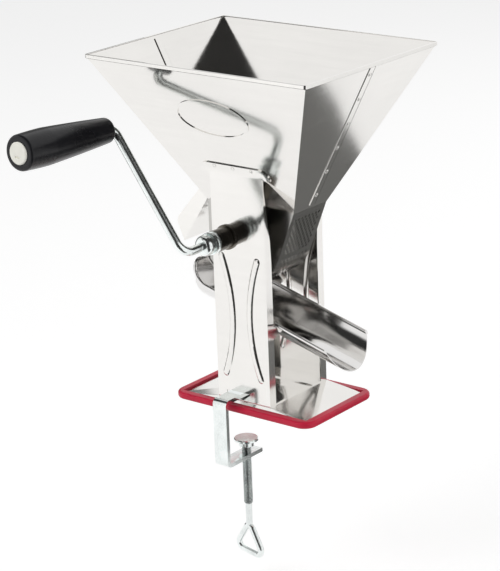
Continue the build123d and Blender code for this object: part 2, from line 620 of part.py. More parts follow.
with BuildPart() as crank_rod:
    with BuildLine(crank_plane) as rod_path:
        FilletPolyline((0, rod_start), (0, arm_y), (crank_radius, arm_y), on_pin(pin_length),
                       radius=(bend_r, pin_bend_r))
    with BuildSketch(Plane(origin=rod_path.line @ 0, z_dir=rod_path.line % 0)):
        Circle(rod_r)
    sweep(path=rod_path.line)

pin_start = crank_plane.from_local_coords(Vector(*on_pin(0), 0))
pin_way = crank_plane.from_local_coords(Vector(*on_pin(1), 0)) - pin_start
pin_axis = Axis(pin_start, pin_way)
# Local x is the radius about the pin, local y the distance along it.
pin_plane = Plane(origin=pin_start, x_dir=pin_way.cross(crank_plane.z_dir), z_dir=crank_plane.z_dir)

with BuildPart() as handle_grip:
    grip_bore = rod_r + grip_bore_gap
    shoulder = grip_start + grip_length * grip_shoulder
    with BuildSketch(pin_plane):
        with BuildLine():
            Line((grip_bore, grip_start), (grip_r_small - grip_fillet, grip_start))
            ThreePointArc((grip_r_small - grip_fillet, grip_start),
                          (grip_r_small - 0.29 * grip_fillet, grip_start + 0.29 * grip_fillet),
                          (grip_r_small, grip_start + grip_fillet))
            # A long swelling taper, then a slight fall to the end.
            ThreePointArc((grip_r_small, grip_start + grip_fillet),
                          ((grip_r_small + grip_r_large) / 2 + 0.25, (grip_start + grip_fillet + shoulder) / 2),
                          (grip_r_large, shoulder))
            ThreePointArc((grip_r_large, shoulder),
                          ((grip_r_large + grip_r_end) / 2 + 0.15, (shoulder + grip_end - grip_fillet) / 2),
                          (grip_r_end, grip_end - grip_fillet))
            ThreePointArc((grip_r_end, grip_end - grip_fillet),
                          (grip_r_end - 0.29 * grip_fillet, grip_end - 0.29 * grip_fillet),
                          (grip_r_end - grip_fillet, grip_end))
            Polyline((grip_r_end - grip_fillet, grip_end), (cup_r, grip_end), (cup_r, cup_floor),
                     (grip_bore, cup_floor), (grip_bore, grip_start))
        make_face()
    revolve(axis=pin_axis)

with BuildPart() as handle_plug:
    with BuildSketch(pin_plane):
        Polygon((0, grip_end - plug_length + plug_proud), (cup_r, grip_end - plug_length + plug_proud),
                (cup_r, grip_end + plug_proud - 0.9), (cup_r - 0.9, grip_end + plug_proud),
                (0, grip_end + plug_proud), align=None)
    revolve(axis=pin_axis)
    with BuildSketch(Plane(origin=pin_axis.position + pin_way * (grip_end + plug_proud),
                           x_dir=(1, 0, 0), z_dir=pin_way)):
        with Locations((0, -cup_r / 3)):
            Rectangle(plug_slot[1], plug_slot[0])
    extrude(amount=-plug_slot[2], mode=Mode.SUBTRACT)

with BuildPart() as grip_washer:
    with BuildSketch(pin_plane):
        Polygon((rod_r, washer_start), (pin_washer_r, washer_start), (pin_washer_r, washer_start + pin_washer),
                (rod_r, washer_start + pin_washer), align=None)
    revolve(axis=pin_axis)

# ---------------------------------------------------------------- screw clamp
strap_in_y = strap_face_y - strap_thick

with BuildPart() as clamp_strap:
    with BuildSketch(Plane.YZ.offset(strap_x - strap_width / 2)):
        with BuildLine():
            FilletPolyline((-strap_tail_y, strap_arm_z + strap_thick), (-strap_face_y, strap_arm_z + strap_thick),
                           (-strap_face_y, strap_low_z), (-strap_arm_y, strap_low_z), radius=strap_bend)
            Line((-strap_arm_y, strap_low_z), (-strap_arm_y, strap_low_z + strap_thick))
            FilletPolyline((-strap_arm_y, strap_low_z + strap_thick), (-strap_in_y, strap_low_z + strap_thick),
                           (-strap_in_y, strap_arm_z), (-strap_tail_y, strap_arm_z),
                           radius=strap_bend - strap_thick)
            Line((-strap_tail_y, strap_arm_z), (-strap_tail_y, strap_arm_z + strap_thick))
        make_face()
    extrude(amount=strap_width)
    with BuildSketch(Plane.XY.offset(strap_low_z - 1)):
        with Locations((strap_x, -screw_y)):
            Circle(screw_r + running)
    extrude(amount=strap_thick + 2, mode=Mode.SUBTRACT)

screw_axis = Axis((strap_x, -screw_y, 0), (0, 0, 1))
screw_plane = Plane(origin=(strap_x, -screw_y, 0), x_dir=(1, 0, 0), z_dir=(0, -1, 0))   # local y is z
screw_top = pad_z - pad_roof - end_gap
screw_neck_r = screw_r - 1.0

with BuildPart() as clamp_screw:
    with BuildSketch(screw_plane):
        Polygon((0, screw_top), (screw_r - 0.8, screw_top), (screw_r, screw_top - 0.8),
                (screw_r, thread_end_z), (screw_neck_r, thread_end_z - 1.0),
                (screw_neck_r, loop_top_z - loop_corner), (0, loop_top_z - loop_corner), align=None)
    revolve(axis=screw_axis)
    loop_plane = Plane(origin=(strap_x, -screw_y, 0), x_dir=(cos(radians(loop_turn)), sin(radians(loop_turn)), 0),
                       z_dir=(-sin(radians(-loop_turn)), -cos(radians(loop_turn)), 0))
    with BuildLine(loop_plane) as loop:
        FilletPolyline((loop_half, loop_low_z), (0, loop_top_z), (-loop_half, loop_low_z),
                       radius=loop_corner, close=True)
    with BuildSketch(Plane(origin=loop.line @ 0, z_dir=loop.line % 0)):
        Circle(screw_wire_r)
    sweep(path=loop.line)

with BuildPart() as clamp_pad:
    with BuildSketch(screw_plane):
        Polygon((0, pad_z), (pad_r - 0.6, pad_z), (pad_r, pad_z - 0.6), (pad_r, pad_z - pad_plate),
                (pad_boss_r + 0.8, pad_z - pad_plate), (pad_boss_r, pad_z - pad_plate - 0.8),
                (pad_boss_r, pad_z - pad_plate - pad_boss), (screw_r + running, pad_z - pad_plate - pad_boss),
                (screw_r + running, pad_z - pad_roof), (0, pad_z - pad_roof), align=None)
    revolve(axis=screw_axis)

# ---------------------------------------------------------------- exports
for node, piece in (
        ("hopper", hopper), ("chamber_front_plate", chamber_front_plate),
        ("chamber_rear_plate", chamber_rear_plate), ("screen", screen), ("skin_chute", skin_chute),
        ("base_plate", base_plate), ("gasket", gasket), ("front_leg", front_leg), ("rear_leg", rear_leg),
        ("juice_chute", juice_chute), ("front_bush", front_bush), ("rear_bush", rear_bush),
        ("rotor_core", rotor_core), ("rotor_shaft", rotor_shaft), ("upper_blade", upper_blade),
        ("lower_blade", lower_blade), ("upper_springs", upper_springs), ("lower_springs", lower_springs),
        ("front_seal", front_seal), ("rear_seal", rear_seal), ("shaft_clip", shaft_clip),
        ("ring_nut", ring_nut), ("crank_collar", crank_collar), ("crank_rod", crank_rod),
        ("handle_grip", handle_grip), ("handle_plug", handle_plug), ("grip_washer", grip_washer),
        ("clamp_strap", clamp_strap), ("clamp_screw", clamp_screw), ("clamp_pad", clamp_pad)):
    piece.part.label = node
    export_step(piece.part, f"parts/{node}.step")
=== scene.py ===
# %% [markdown]
# # A hand-cranked tomato strainer
# Tomatoes go into the big sheet-steel hopper. A crank turns a white rotor in the chamber below it,
# two sprung blades press the fruit against a perforated screen, the juice falls into the open chute
# and the skins leave on the other side. The shapes come from a CAD model, which is loaded here as a
# fixed frame. What this file adds is the way the metal, nylon and rubber look, and the small
# features that are easier to draw than to machine: the folds of the base, the slanted lip, cut
# edges, threads, welds and springs.

# %% Load the frame
import json
import math

import bmesh
import bpy
from mathutils import Matrix, Vector


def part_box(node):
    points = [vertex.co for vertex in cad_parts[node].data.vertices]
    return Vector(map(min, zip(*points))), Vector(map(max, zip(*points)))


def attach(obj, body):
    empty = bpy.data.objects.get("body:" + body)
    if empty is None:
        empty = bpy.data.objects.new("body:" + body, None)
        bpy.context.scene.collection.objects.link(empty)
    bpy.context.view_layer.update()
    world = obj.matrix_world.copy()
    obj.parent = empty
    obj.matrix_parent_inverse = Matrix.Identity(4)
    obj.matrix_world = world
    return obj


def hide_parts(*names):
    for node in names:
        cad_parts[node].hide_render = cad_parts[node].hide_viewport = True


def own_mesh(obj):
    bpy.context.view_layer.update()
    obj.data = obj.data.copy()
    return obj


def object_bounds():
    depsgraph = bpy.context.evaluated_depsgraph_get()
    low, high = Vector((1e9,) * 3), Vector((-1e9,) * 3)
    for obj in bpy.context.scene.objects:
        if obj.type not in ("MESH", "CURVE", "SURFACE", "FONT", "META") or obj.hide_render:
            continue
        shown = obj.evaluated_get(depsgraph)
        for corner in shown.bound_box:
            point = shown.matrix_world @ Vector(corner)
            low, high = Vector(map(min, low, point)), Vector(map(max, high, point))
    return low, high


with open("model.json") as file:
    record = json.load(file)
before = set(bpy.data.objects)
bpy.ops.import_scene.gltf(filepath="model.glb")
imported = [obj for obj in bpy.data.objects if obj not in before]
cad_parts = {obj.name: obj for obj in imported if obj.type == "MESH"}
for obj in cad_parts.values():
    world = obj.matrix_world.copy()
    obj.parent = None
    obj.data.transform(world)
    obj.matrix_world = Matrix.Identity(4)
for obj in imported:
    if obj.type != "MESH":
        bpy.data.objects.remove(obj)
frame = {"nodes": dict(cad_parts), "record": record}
cad_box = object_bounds()
nodes = frame["nodes"]

# %% [markdown]
# ## The camera
# The lens and the place were worked out from the corners of the rim, the throat and the base. The
# picture was cropped from a larger one, which the small shift of the lens stands for. Everything is
# worked out for an image of 500 by 571 pixels.

# %% Camera
azimuth, elevation, roll = math.radians(38.342), math.radians(16.02), math.radians(-2.029)
distance, focal_px, centre_px = 1.87052, 2245.15, (266.40, 194.56)
image_width, image_height = 500, 571

back = Vector((math.sin(azimuth) * math.cos(elevation), -math.cos(azimuth) * math.cos(elevation),
               math.sin(elevation)))
level_right = Vector((math.cos(azimuth), math.sin(azimuth), 0))
level_up = back.cross(level_right)
right = math.cos(roll) * level_right + math.sin(roll) * level_up
up = math.cos(roll) * level_up - math.sin(roll) * level_right

camera_data = bpy.data.cameras.new("camera")
camera_data.sensor_fit = "HORIZONTAL"
camera_data.sensor_width = 36
camera_data.lens = focal_px * 36 / image_width
camera_data.shift_x = (image_width / 2 - centre_px[0]) / image_width
camera_data.shift_y = (centre_px[1] - image_height / 2) / image_width
camera_data.clip_start, camera_data.clip_end = 0.05, 30
camera = bpy.data.objects.new("camera", camera_data)
camera.matrix_world = Matrix.Translation(Vector((0, 0, 0.18)) + back * distance) @ Matrix(
    (right, up, back)).transposed().to_4x4()
bpy.context.scene.collection.objects.link(camera)
bpy.context.scene.camera = camera
print("lens", round(camera_data.lens, 2), "mm")

# %% [markdown]
# ## A short way to write shaders
# A material is a graph of nodes, but its maths reads best as maths. The class below wraps one
# socket. Adding or multiplying two of them adds the Math node that does it, and any other kind of
# node comes from one method that sets the node's options first and its inputs after.


# %% Shader helper
class Value:
    """One output socket in a material's tree, with arithmetic."""

    def __init__(self, tree, socket):
        self.tree, self.socket = tree, socket

    def maths(self, operation, *others, swap=False):
        inputs = [self, *others]
        if swap:
            inputs.reverse()
        node = self.tree.nodes.new("ShaderNodeMath")
        node.operation = operation
        for slot, value in zip(node.inputs, inputs):
            connect(self.tree, slot, value)
        return Value(self.tree, node.outputs[0])

    def __add__(self, other):
        return self.maths("ADD", other)

    def __sub__(self, other):
        return self.maths("SUBTRACT", other)

    def __rsub__(self, other):
        return self.maths("SUBTRACT", other, swap=True)

    def __mul__(self, other):
        return self.maths("MULTIPLY", other)

    def clamp(self, low, high):
        return self.maths("MAXIMUM", low).maths("MINIMUM", high)


def connect(tree, slot, value):
    if isinstance(value, Value):
        tree.links.new(value.socket, slot)
    else:
        slot.default_value = value


class Graph:
    """A node tree that is filled from code. An underscore in a keyword stands for a space."""

    def node(self, kind, settings=None, output=0, **inputs):
        node = self.tree.nodes.new(kind)
        for key, value in (settings or {}).items():
            setattr(node, key, value)
        for socket, value in inputs.items():
            connect(self.tree, node.inputs[socket.replace("_", " ")], value)
        return Value(self.tree, node.outputs[output])


class Finish(Graph):
    """A material under construction: its tree, its shader and its pattern's coordinates."""

    def __init__(self, name, **constants):
        self.material = bpy.data.materials.new(name)
        self.material.use_nodes = True
        self.tree = self.material.node_tree
        self.shader = self.tree.nodes["Principled BSDF"]
        for socket, value in constants.items():
            self.shader.inputs[socket.replace("_", " ")].default_value = value
        self.place = self.node("ShaderNodeTexCoord", output="Object")

    def ramp(self, factor, *stops):
        """Two stops, each a position and a colour."""
        ramp = self.tree.nodes.new("ShaderNodeValToRGB")
        elements = ramp.color_ramp.elements
        for element, (position, colour) in zip(elements, stops):
            element.position = position
            element.color = (*colour, 1)
        connect(self.tree, ramp.inputs[0], factor)
        return Value(self.tree, ramp.outputs[0])

    def stretched(self, scale):
        """Object coordinates, scaled differently along each axis."""
        return self.node("ShaderNodeMapping", Vector=self.place, Scale=scale)

    def noise(self, scale, detail, roughness, at=None):
        return self.node("ShaderNodeTexNoise", Vector=at or self.place, Scale=scale, Detail=detail,
                         Roughness=roughness)

    def bump(self, height, strength, distance):
        """Distance is in metres."""
        normal = self.node("ShaderNodeBump", Height=height, Strength=strength, Distance=distance)
        connect(self.tree, self.shader.inputs["Normal"], normal)

    def set(self, **links):
        for socket, value in links.items():
            connect(self.tree, self.shader.inputs[socket.replace("_", " ")], value)


# %% [markdown]
# ## Sheet steel
# The hopper, the chamber and the chutes are bright-rolled stainless sheet. It reflects like a
# mirror that somebody breathed on: the picture is soft, and broken by faint clouds from handling.
# Painting that look would fix it to one view, so the metal is a real reflector here, and only its
# roughness, its tone and a very low waviness change over the sheet. The chamber's sheet alone gets
# a darker colour, as painted shade for its recess under the hopper.


# %% Sheet steel
rolling_grain = (14, 14, 260)          # the rolling marks are short across Z and long along X and Y


def rolled_sheet(name, colour, low, high, wave):
    """Roughness runs from low to high in soft clouds. The sheet's waviness is wave metres high."""
    finish = Finish(name, Metallic=1.0)
    clouds = finish.noise(9.0, 4.0, 0.6)
    grind = finish.noise(1.0, 3.0, 0.6, finish.stretched(rolling_grain))
    tone = clouds * 0.7 + grind * 0.3
    dark, light = [c * 0.95 for c in colour], [min(1.0, c * 1.04) for c in colour]
    finish.set(Base_Color=finish.ramp(tone, (0.3, dark), (0.7, light)),
               Roughness=(tone * (high - low) * 1.6 + (low * 1.3 - high * 0.3)).clamp(0.02, 1.0))
    ripple = finish.noise(7.0, 1.0, 0.4) + grind * 0.01
    finish.bump(ripple, 1.0, wave)
    return finish.material


hopper_steel = rolled_sheet("hopper sheet", (0.83, 0.815, 0.79), 0.06, 0.13, 0.0009)
# The chamber is the same bright stainless. Its darker colour of 0.50 is painted shade for the
# recess under the hopper.
chamber_steel_painted_shade = rolled_sheet("chamber sheet painted shade", (0.50, 0.49, 0.47), 0.14, 0.26, 0.0005)
leg_steel = rolled_sheet("polished pressings", (0.84, 0.825, 0.80), 0.09, 0.16, 0.0007)
chute_steel = rolled_sheet("chute sheet", (0.78, 0.77, 0.76), 0.08, 0.18, 0.0005)
print("sheet finishes:", hopper_steel.name, chamber_steel_painted_shade.name, leg_steel.name, chute_steel.name)

# %% [markdown]
# ## Zinc plate and turned steel
# The crank and the clamp are mild steel with bright zinc: slightly blue-green, with fine streaks
# along the drawn wire and small dull spots. The bushes are turned from darker steel, whose tool
# marks run round them, so their pattern is stretched across the shaft's direction.


# %% Zinc and turned steel
def plated(name, colour, roughness, speck_scale):
    finish = Finish(name, Metallic=1.0)
    specks = finish.noise(speck_scale, 3.0, 0.7)
    patches = finish.noise(60.0, 2.0, 0.5)
    tone = specks * 0.5 + patches * 0.5
    dark, light = [c * 0.80 for c in colour], [min(1.0, c * 1.10) for c in colour]
    finish.set(Base_Color=finish.ramp(tone, (0.35, dark), (0.65, light)),
               Roughness=(tone * 0.2 + roughness - 0.1).clamp(0.05, 1.0))
    finish.bump(specks, 0.2, 0.0001)
    return finish.material


def turned(name, colour, roughness):
    """Tool marks are rings round the Y axis, so the noise hardly changes along X and Z."""
    finish = Finish(name, Metallic=1.0)
    rings = finish.noise(1.0, 4.0, 0.7, finish.stretched((8, 2600, 8)))
    bands = finish.noise(1.0, 2.0, 0.5, finish.stretched((12, 160, 12)))
    tone = rings * 0.4 + bands * 0.6
    dark, light = [c * 0.55 for c in colour], [min(1.0, c * 1.35) for c in colour]
    finish.set(Base_Color=finish.ramp(tone, (0.35, dark), (0.65, light)),
               Roughness=(tone * 0.2 + roughness - 0.1).clamp(0.05, 1.0))
    finish.bump(rings, 0.3, 0.0001)
    return finish.material


crank_zinc = plated("bright zinc plate", (0.86, 0.90, 0.89), 0.18, 900.0)
# This near-black finish is painted shade. It darkens cut edges where the gaps beside them fall in
# shadow.
edge_shade = plated("painted shade edge", (0.10, 0.095, 0.085), 0.45, 1500.0)
bush_steel = turned("turned bushes", (0.14, 0.127, 0.108), 0.24)
print("plated and turned:", crank_zinc.name, bush_steel.name)

# %% [markdown]
# ## Plastics and rubber
# Four moulded finishes: a glossy black grip, a cream plug in its end, the white nylon rotor and the
# soft crimson edging under the base. A moulded surface is never quite even, so each one has a slow
# mottle in colour and gloss and a fine grain in its bump. The grip gets a clear coat on top.


# %% Moulded finishes
def moulded(name, colour, roughness, grain_scale, grain_depth, variation=0.06, **constants):
    finish = Finish(name, Metallic=0.0, **constants)
    mottle = finish.noise(35.0, 3.0, 0.6)
    dark = [c * (1 - variation) for c in colour]
    light = [min(1.0, c * (1 + variation)) for c in colour]
    grain = finish.noise(grain_scale, 2.0, 0.6)
    finish.set(Base_Color=finish.ramp(mottle, (0.3, dark), (0.7, light)),
               Roughness=(mottle * 0.12 + roughness - 0.06).clamp(0.03, 1.0))
    finish.bump(grain, 0.4, grain_depth)
    return finish.material


grip_black = moulded("gloss black grip", (0.008, 0.008, 0.010), 0.28, 260.0, 0.00010, 0.2,
                     Specular_IOR_Level=0.28, Coat_Weight=0.06, Coat_Roughness=0.12)
plug_cream = moulded("cream plug", (0.96, 0.94, 0.86), 0.42, 900.0, 0.00010)
white_nylon = moulded("white nylon", (0.80, 0.80, 0.77), 0.40, 700.0, 0.00010)
edging_crimson = moulded("crimson soft edging", (0.60, 0.012, 0.050), 0.36, 800.0, 0.00010, 0.12,
                         Specular_IOR_Level=0.35)
print("moulded:", grip_black.name, plug_cream.name, white_nylon.name, edging_crimson.name)

# %% [markdown]
# ## Smooth copies of the frame
# The CAD solids arrive as loose triangles, one flat facet each, which a mirror shows at once. Their
# shapes are right, so they aren't modelled again. Each gets a copy whose corners are merged. A copy
# is shaded smooth, except over its real edges, and weighted normals keep the flats flat beside a
# fillet. The copy then stands for its node, and rides on the same body.


# %% Smooth copies
same_place = 2e-6                      # points closer than this are one point, in metres
crease_degrees = 32.0


def linked(name, data):
    """A new object in the scene that shows this mesh or curve."""
    obj = bpy.data.objects.new(name, data)
    bpy.context.scene.collection.objects.link(obj)
    return obj


def keep(name, mesh, material, body):
    """The finished piece: an object at the origin that has one material and rides on a body."""
    mesh.name = name
    mesh.materials.clear()
    mesh.materials.append(material)
    piece = linked(name, mesh)
    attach(piece, body)
    return piece


def baked(obj):
    """The object's mesh with its modifiers in it. The object itself is taken away."""
    graph = bpy.context.evaluated_depsgraph_get()
    mesh = bpy.data.meshes.new_from_object(obj.evaluated_get(graph), depsgraph=graph)
    bpy.data.objects.remove(obj)
    return mesh


def merged(node_name, crease):
    """A node's mesh with its corners merged. Edges that turn by over crease degrees stay sharp."""
    shell = bmesh.new()
    shell.from_mesh(nodes[node_name].data)
    bmesh.ops.remove_doubles(shell, verts=shell.verts, dist=same_place)
    for face in shell.faces:
        face.smooth = True
    for edge in shell.edges:
        two_faces = len(edge.link_faces) == 2
        edge.smooth = two_faces and edge.calc_face_angle(0.0) < math.radians(crease)
    mesh = bpy.data.meshes.new(node_name + "_merged")
    shell.to_mesh(mesh)
    shell.free()
    if mesh.attributes.get("custom_normal"):
        mesh.attributes.remove(mesh.attributes["custom_normal"])
    return mesh


def weighted(mesh):
    """Weighted normals, so that a fillet's shading doesn't bleed over the flat beside it."""
    holder = linked("holder", mesh)
    modifier = holder.modifiers.new("weighted normals", "WEIGHTED_NORMAL")
    modifier.keep_sharp = True
    modifier.weight = 60
    return baked(holder)


body_of_node = {node: body for body, members in frame["record"]["behaviour"]["bodies"].items()
                for node in members}

copies = {
    "hopper": ("hopper_walls", hopper_steel), "chamber_front_plate": ("chamber_front", chamber_steel_painted_shade),
    "chamber_rear_plate": ("chamber_rear", chamber_steel_painted_shade),
    "screen": ("perforated_screen", chamber_steel_painted_shade),
    "skin_chute": ("skin_slide", hopper_steel), "juice_chute": ("juice_trough", chute_steel),
    "front_leg": ("front_leg_pressing", leg_steel), "rear_leg": ("rear_leg_pressing", leg_steel),
    "gasket": ("base_edging", edging_crimson),
    "clamp_strap": ("clamp_bow", crank_zinc), "clamp_pad": ("clamp_foot", crank_zinc),
    "crank_rod": ("crank_wire", crank_zinc), "crank_collar": ("crank_boss", crank_zinc),
    "ring_nut": ("bush_nut", crank_zinc), "grip_washer": ("grip_disc", crank_zinc),
    "front_bush": ("front_bush_tube", bush_steel), "rear_bush": ("rear_bush_tube", bush_steel),
    "rotor_shaft": ("rotor_axle", bush_steel), "shaft_clip": ("axle_clip", bush_steel),
    "rotor_core": ("rotor_drum", white_nylon), "upper_blade": ("upper_wiper", white_nylon),
    "lower_blade": ("lower_wiper", white_nylon), "front_seal": ("front_washer", white_nylon),
    "rear_seal": ("rear_washer", white_nylon), "handle_grip": ("grip_body", grip_black),
    "handle_plug": ("grip_plug", plug_cream),
}
fall = 0.28                            # the chute drops by this much per metre
lip_x, lip_slant = 0.0785, 0.40        # the rims' end, and how far the cut runs out per metre down
rim_at_zero = 0.0869                   # the rim's height over the middle of the base
lip_starts = 0.070                     # only the lip's points lie beyond this x


def recut_lip(mesh):
    """Slides the lip's points along the chute, so that its cut is steeper than in the CAD model."""
    along = Vector((1, 0, -fall)).normalized()
    lip_z = rim_at_zero - fall * lip_x
    for vertex in mesh.vertices:
        if vertex.co.x > lip_starts:
            short = lip_x - vertex.co.x + lip_slant * (lip_z - vertex.co.z)
            vertex.co += along * (short / (along.x + lip_slant * along.z))


for node_name, (piece_name, material) in copies.items():
    mesh = merged(node_name, crease_degrees)
    if node_name == "juice_chute":
        recut_lip(mesh)
    piece = keep(piece_name, weighted(mesh), material,
                 body_of_node[node_name])
    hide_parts(node_name)
print("smooth copies:", len(copies), "of", len(nodes))

# %% [markdown]
# ## The base pressing
# The base is a sheet pressed into a low hipped roof, whose hips run in from the corners. Between
# the legs it has to meet their feet. Beyond them its four corners drop below the edging's top, so
# that the edging shows all round. Two dozen points say all that. Solidify gives them the sheet's
# thickness and a small bevel rounds the folds.

# %% The base pressing
edge_x, edge_y, wing_x = 0.0644, 0.0396, 0.0290
foot_z, corner_z, ridge_z, skirt_z = 0.0086, 0.0045, 0.0106, 0.0032
skirt_flare = 0.0016                   # the skirt's foot stands out this far past the edge
ends = (-1, 1)
pairs = [(i, j) for i in ends for j in ends]
hip_y = edge_y * wing_x / edge_x
hip_z = ridge_z - (ridge_z - foot_z) * wing_x / edge_x
floor_points = {
    "ridge": (0.0, 0.0, ridge_z),
    **{f"wing{i}": (i * wing_x, 0.0, hip_z) for i in ends},
    **{f"hip{i}{j}": (i * wing_x, j * hip_y, hip_z) for i, j in pairs},
    **{f"foot{i}{j}": (i * wing_x, j * edge_y, foot_z) for i, j in pairs},
    **{f"corner{i}{j}": (i * edge_x, j * edge_y, corner_z) for i, j in pairs},
    **{f"skirtfoot{i}{j}": (i * wing_x, j * (edge_y + skirt_flare), skirt_z) for i, j in pairs},
    **{f"skirtcorner{i}{j}": (i * (edge_x + skirt_flare), j * (edge_y + skirt_flare), skirt_z)
       for i, j in pairs},
}
roof = bmesh.new()
spot = {name: roof.verts.new(place) for name, place in floor_points.items()}
panels = []
for i in ends:
    panels.append(("ridge", f"hip{i}-1", f"wing{i}", f"hip{i}1"))
    panels.append((f"wing{i}", f"corner{i}-1", f"corner{i}1"))
    panels.append((f"corner{i}-1", f"corner{i}1", f"skirtcorner{i}1", f"skirtcorner{i}-1"))
    for j in ends:
        panels.append((f"wing{i}", f"hip{i}{j}", f"corner{i}{j}"))
        panels.append((f"hip{i}{j}", f"foot{i}{j}", f"corner{i}{j}"))
        panels.append((f"foot{i}{j}", f"corner{i}{j}", f"skirtcorner{i}{j}", f"skirtfoot{i}{j}"))
for j in ends:
    panels.append(("ridge", f"hip-1{j}", f"foot-1{j}", f"foot1{j}", f"hip1{j}"))
    panels.append((f"foot-1{j}", f"foot1{j}", f"skirtfoot1{j}", f"skirtfoot-1{j}"))
for panel in panels:
    roof.faces.new([spot[name] for name in panel])
bmesh.ops.recalc_face_normals(roof, faces=roof.faces)
if sum(face.normal.z for face in roof.faces) < 0:
    bmesh.ops.reverse_faces(roof, faces=roof.faces)
roof_mesh = bpy.data.meshes.new("roof")
roof.to_mesh(roof_mesh)
roof.free()
roof_holder = linked("holder", roof_mesh)
wall = roof_holder.modifiers.new("sheet", "SOLIDIFY")
wall.thickness, wall.offset = 0.0010, -1.0
folds = roof_holder.modifiers.new("folds", "BEVEL")
folds.width, folds.segments = 0.0006, 2
folds.limit_method, folds.angle_limit = "ANGLE", math.radians(6)
base = keep("base_pressing", baked(roof_holder), leg_steel, "stand")
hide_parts("base_plate")
print("base pressing:", len(base.data.polygons), "faces")

# %% [markdown]
# ## Growing what repeats
# A coil, a thread and a row of welds are one small shape, repeated or led along a path. Geometry
# Nodes do that from a few named sizes. The class below builds such a tree, and the function after
# it sets the sizes on a modifier and turns the result into a plain mesh.


# %% Geometry Nodes helper
class Recipe(Graph):
    """A Geometry Nodes tree whose inputs are the sizes it is given."""

    sockets = {float: "NodeSocketFloat", int: "NodeSocketInt", tuple: "NodeSocketVector",
               bpy.types.Material: "NodeSocketMaterial"}

    def __init__(self, name, **kinds):
        self.tree = bpy.data.node_groups.new(name, "GeometryNodeTree")
        self.tree.interface.new_socket("Geometry", in_out="OUTPUT",
                                       socket_type="NodeSocketGeometry")
        for socket, kind in kinds.items():
            self.tree.interface.new_socket(socket, in_out="INPUT", socket_type=self.sockets[kind])
        entry = self.tree.nodes.new("NodeGroupInput")
        self.sizes = {socket: Value(self.tree, entry.outputs[socket]) for socket in kinds}

    def joined(self, *shapes):
        node = self.tree.nodes.new("GeometryNodeJoinGeometry")
        for shape in shapes:
            self.tree.links.new(shape.socket, node.inputs[0])
        return Value(self.tree, node.outputs[0])

    def vector(self, x=0.0, y=0.0, z=0.0):
        return self.node("ShaderNodeCombineXYZ", X=x, Y=y, Z=z)

    def finish(self, shape):
        real = self.node("GeometryNodeRealizeInstances", Geometry=shape)
        smooth = self.node("GeometryNodeSetShadeSmooth", Geometry=real)
        painted = self.node("GeometryNodeSetMaterial", Geometry=smooth,
                            Material=self.sizes["Material"])
        self.tree.links.new(painted.socket, self.tree.nodes.new("NodeGroupOutput").inputs[0])


def grown(recipe, **sizes):
    """The mesh that a recipe makes from these sizes."""
    holder = linked("holder", bpy.data.meshes.new("holder"))
    modifier = holder.modifiers.new("grown", "NODES")
    modifier.node_group = recipe.tree
    for item in recipe.tree.interface.items_tree:
        if item.in_out == "INPUT":
            modifier[item.identifier] = sizes[item.name]
    return baked(holder)


# %% [markdown]
# ## Coil springs and the clamp's thread
# Both are a wire led along a helix. The springs sit in pairs in the rotor's pockets and press the
# wipers outwards. In the CAD model they are plain sleeves, because a coil costs a thousand faces
# that no simulation needs. The clamp's screw is a rod there too. Its thread is a helix of
# diamond section here, half sunk in a core that is turned down to the thread's root.


# %% The coil recipe
coil = Recipe("coil", Turns=float, Steps=int, Radius=float, Length=float, Wire=float, Sides=int,
              First=tuple, Second=tuple, Material=bpy.types.Material)
helix = coil.node("GeometryNodeCurveSpiral", Resolution=coil.sizes["Steps"],
                  Rotations=coil.sizes["Turns"], Start_Radius=coil.sizes["Radius"],
                  End_Radius=coil.sizes["Radius"], Height=coil.sizes["Length"])
upright = coil.node("GeometryNodeSetCurveNormal", {"mode": "Z_UP"}, Curve=helix)
section = coil.node("GeometryNodeCurvePrimitiveCircle", Resolution=coil.sizes["Sides"],
                    Radius=coil.sizes["Wire"])
wire = coil.node("GeometryNodeCurveToMesh", Curve=upright, Profile_Curve=section, Fill_Caps=True)
coil.finish(coil.joined(
    coil.node("GeometryNodeTransform", Geometry=wire, Translation=coil.sizes["First"]),
    coil.node("GeometryNodeTransform", Geometry=wire, Translation=coil.sizes["Second"])))
print("coil recipe has", len(coil.tree.nodes), "nodes")

# %% Springs
for side in ("upper", "lower"):
    low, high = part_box(side + "_springs")
    wire_r, spring_r = 0.0004, (high[0] - low[0]) / 2
    centre_x = (low[0] + high[0]) / 2
    mesh = grown(coil, Turns=5.0, Steps=20, Radius=spring_r - wire_r,
                 Length=high[2] - low[2] - 2 * wire_r, Wire=wire_r, Sides=8,
                 First=(centre_x, low[1] + spring_r, low[2] + wire_r),
                 Second=(centre_x, high[1] - spring_r, low[2] + wire_r), Material=bush_steel)
    springs = keep(side + "_coils", mesh, bush_steel, "crank")
    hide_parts(side + "_springs")
    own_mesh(springs)
    print(side, "coils:", len(springs.data.polygons), "faces")

# %% [markdown]
# ## The clamp's screw
# The plain rod becomes two pieces. One is the rod itself, whose upper part is drawn in to the
# thread's root by moving its points towards the axis. The other is the thread, which the coil
# recipe makes with four sides instead of eight: a diamond section whose outer point is the crest.

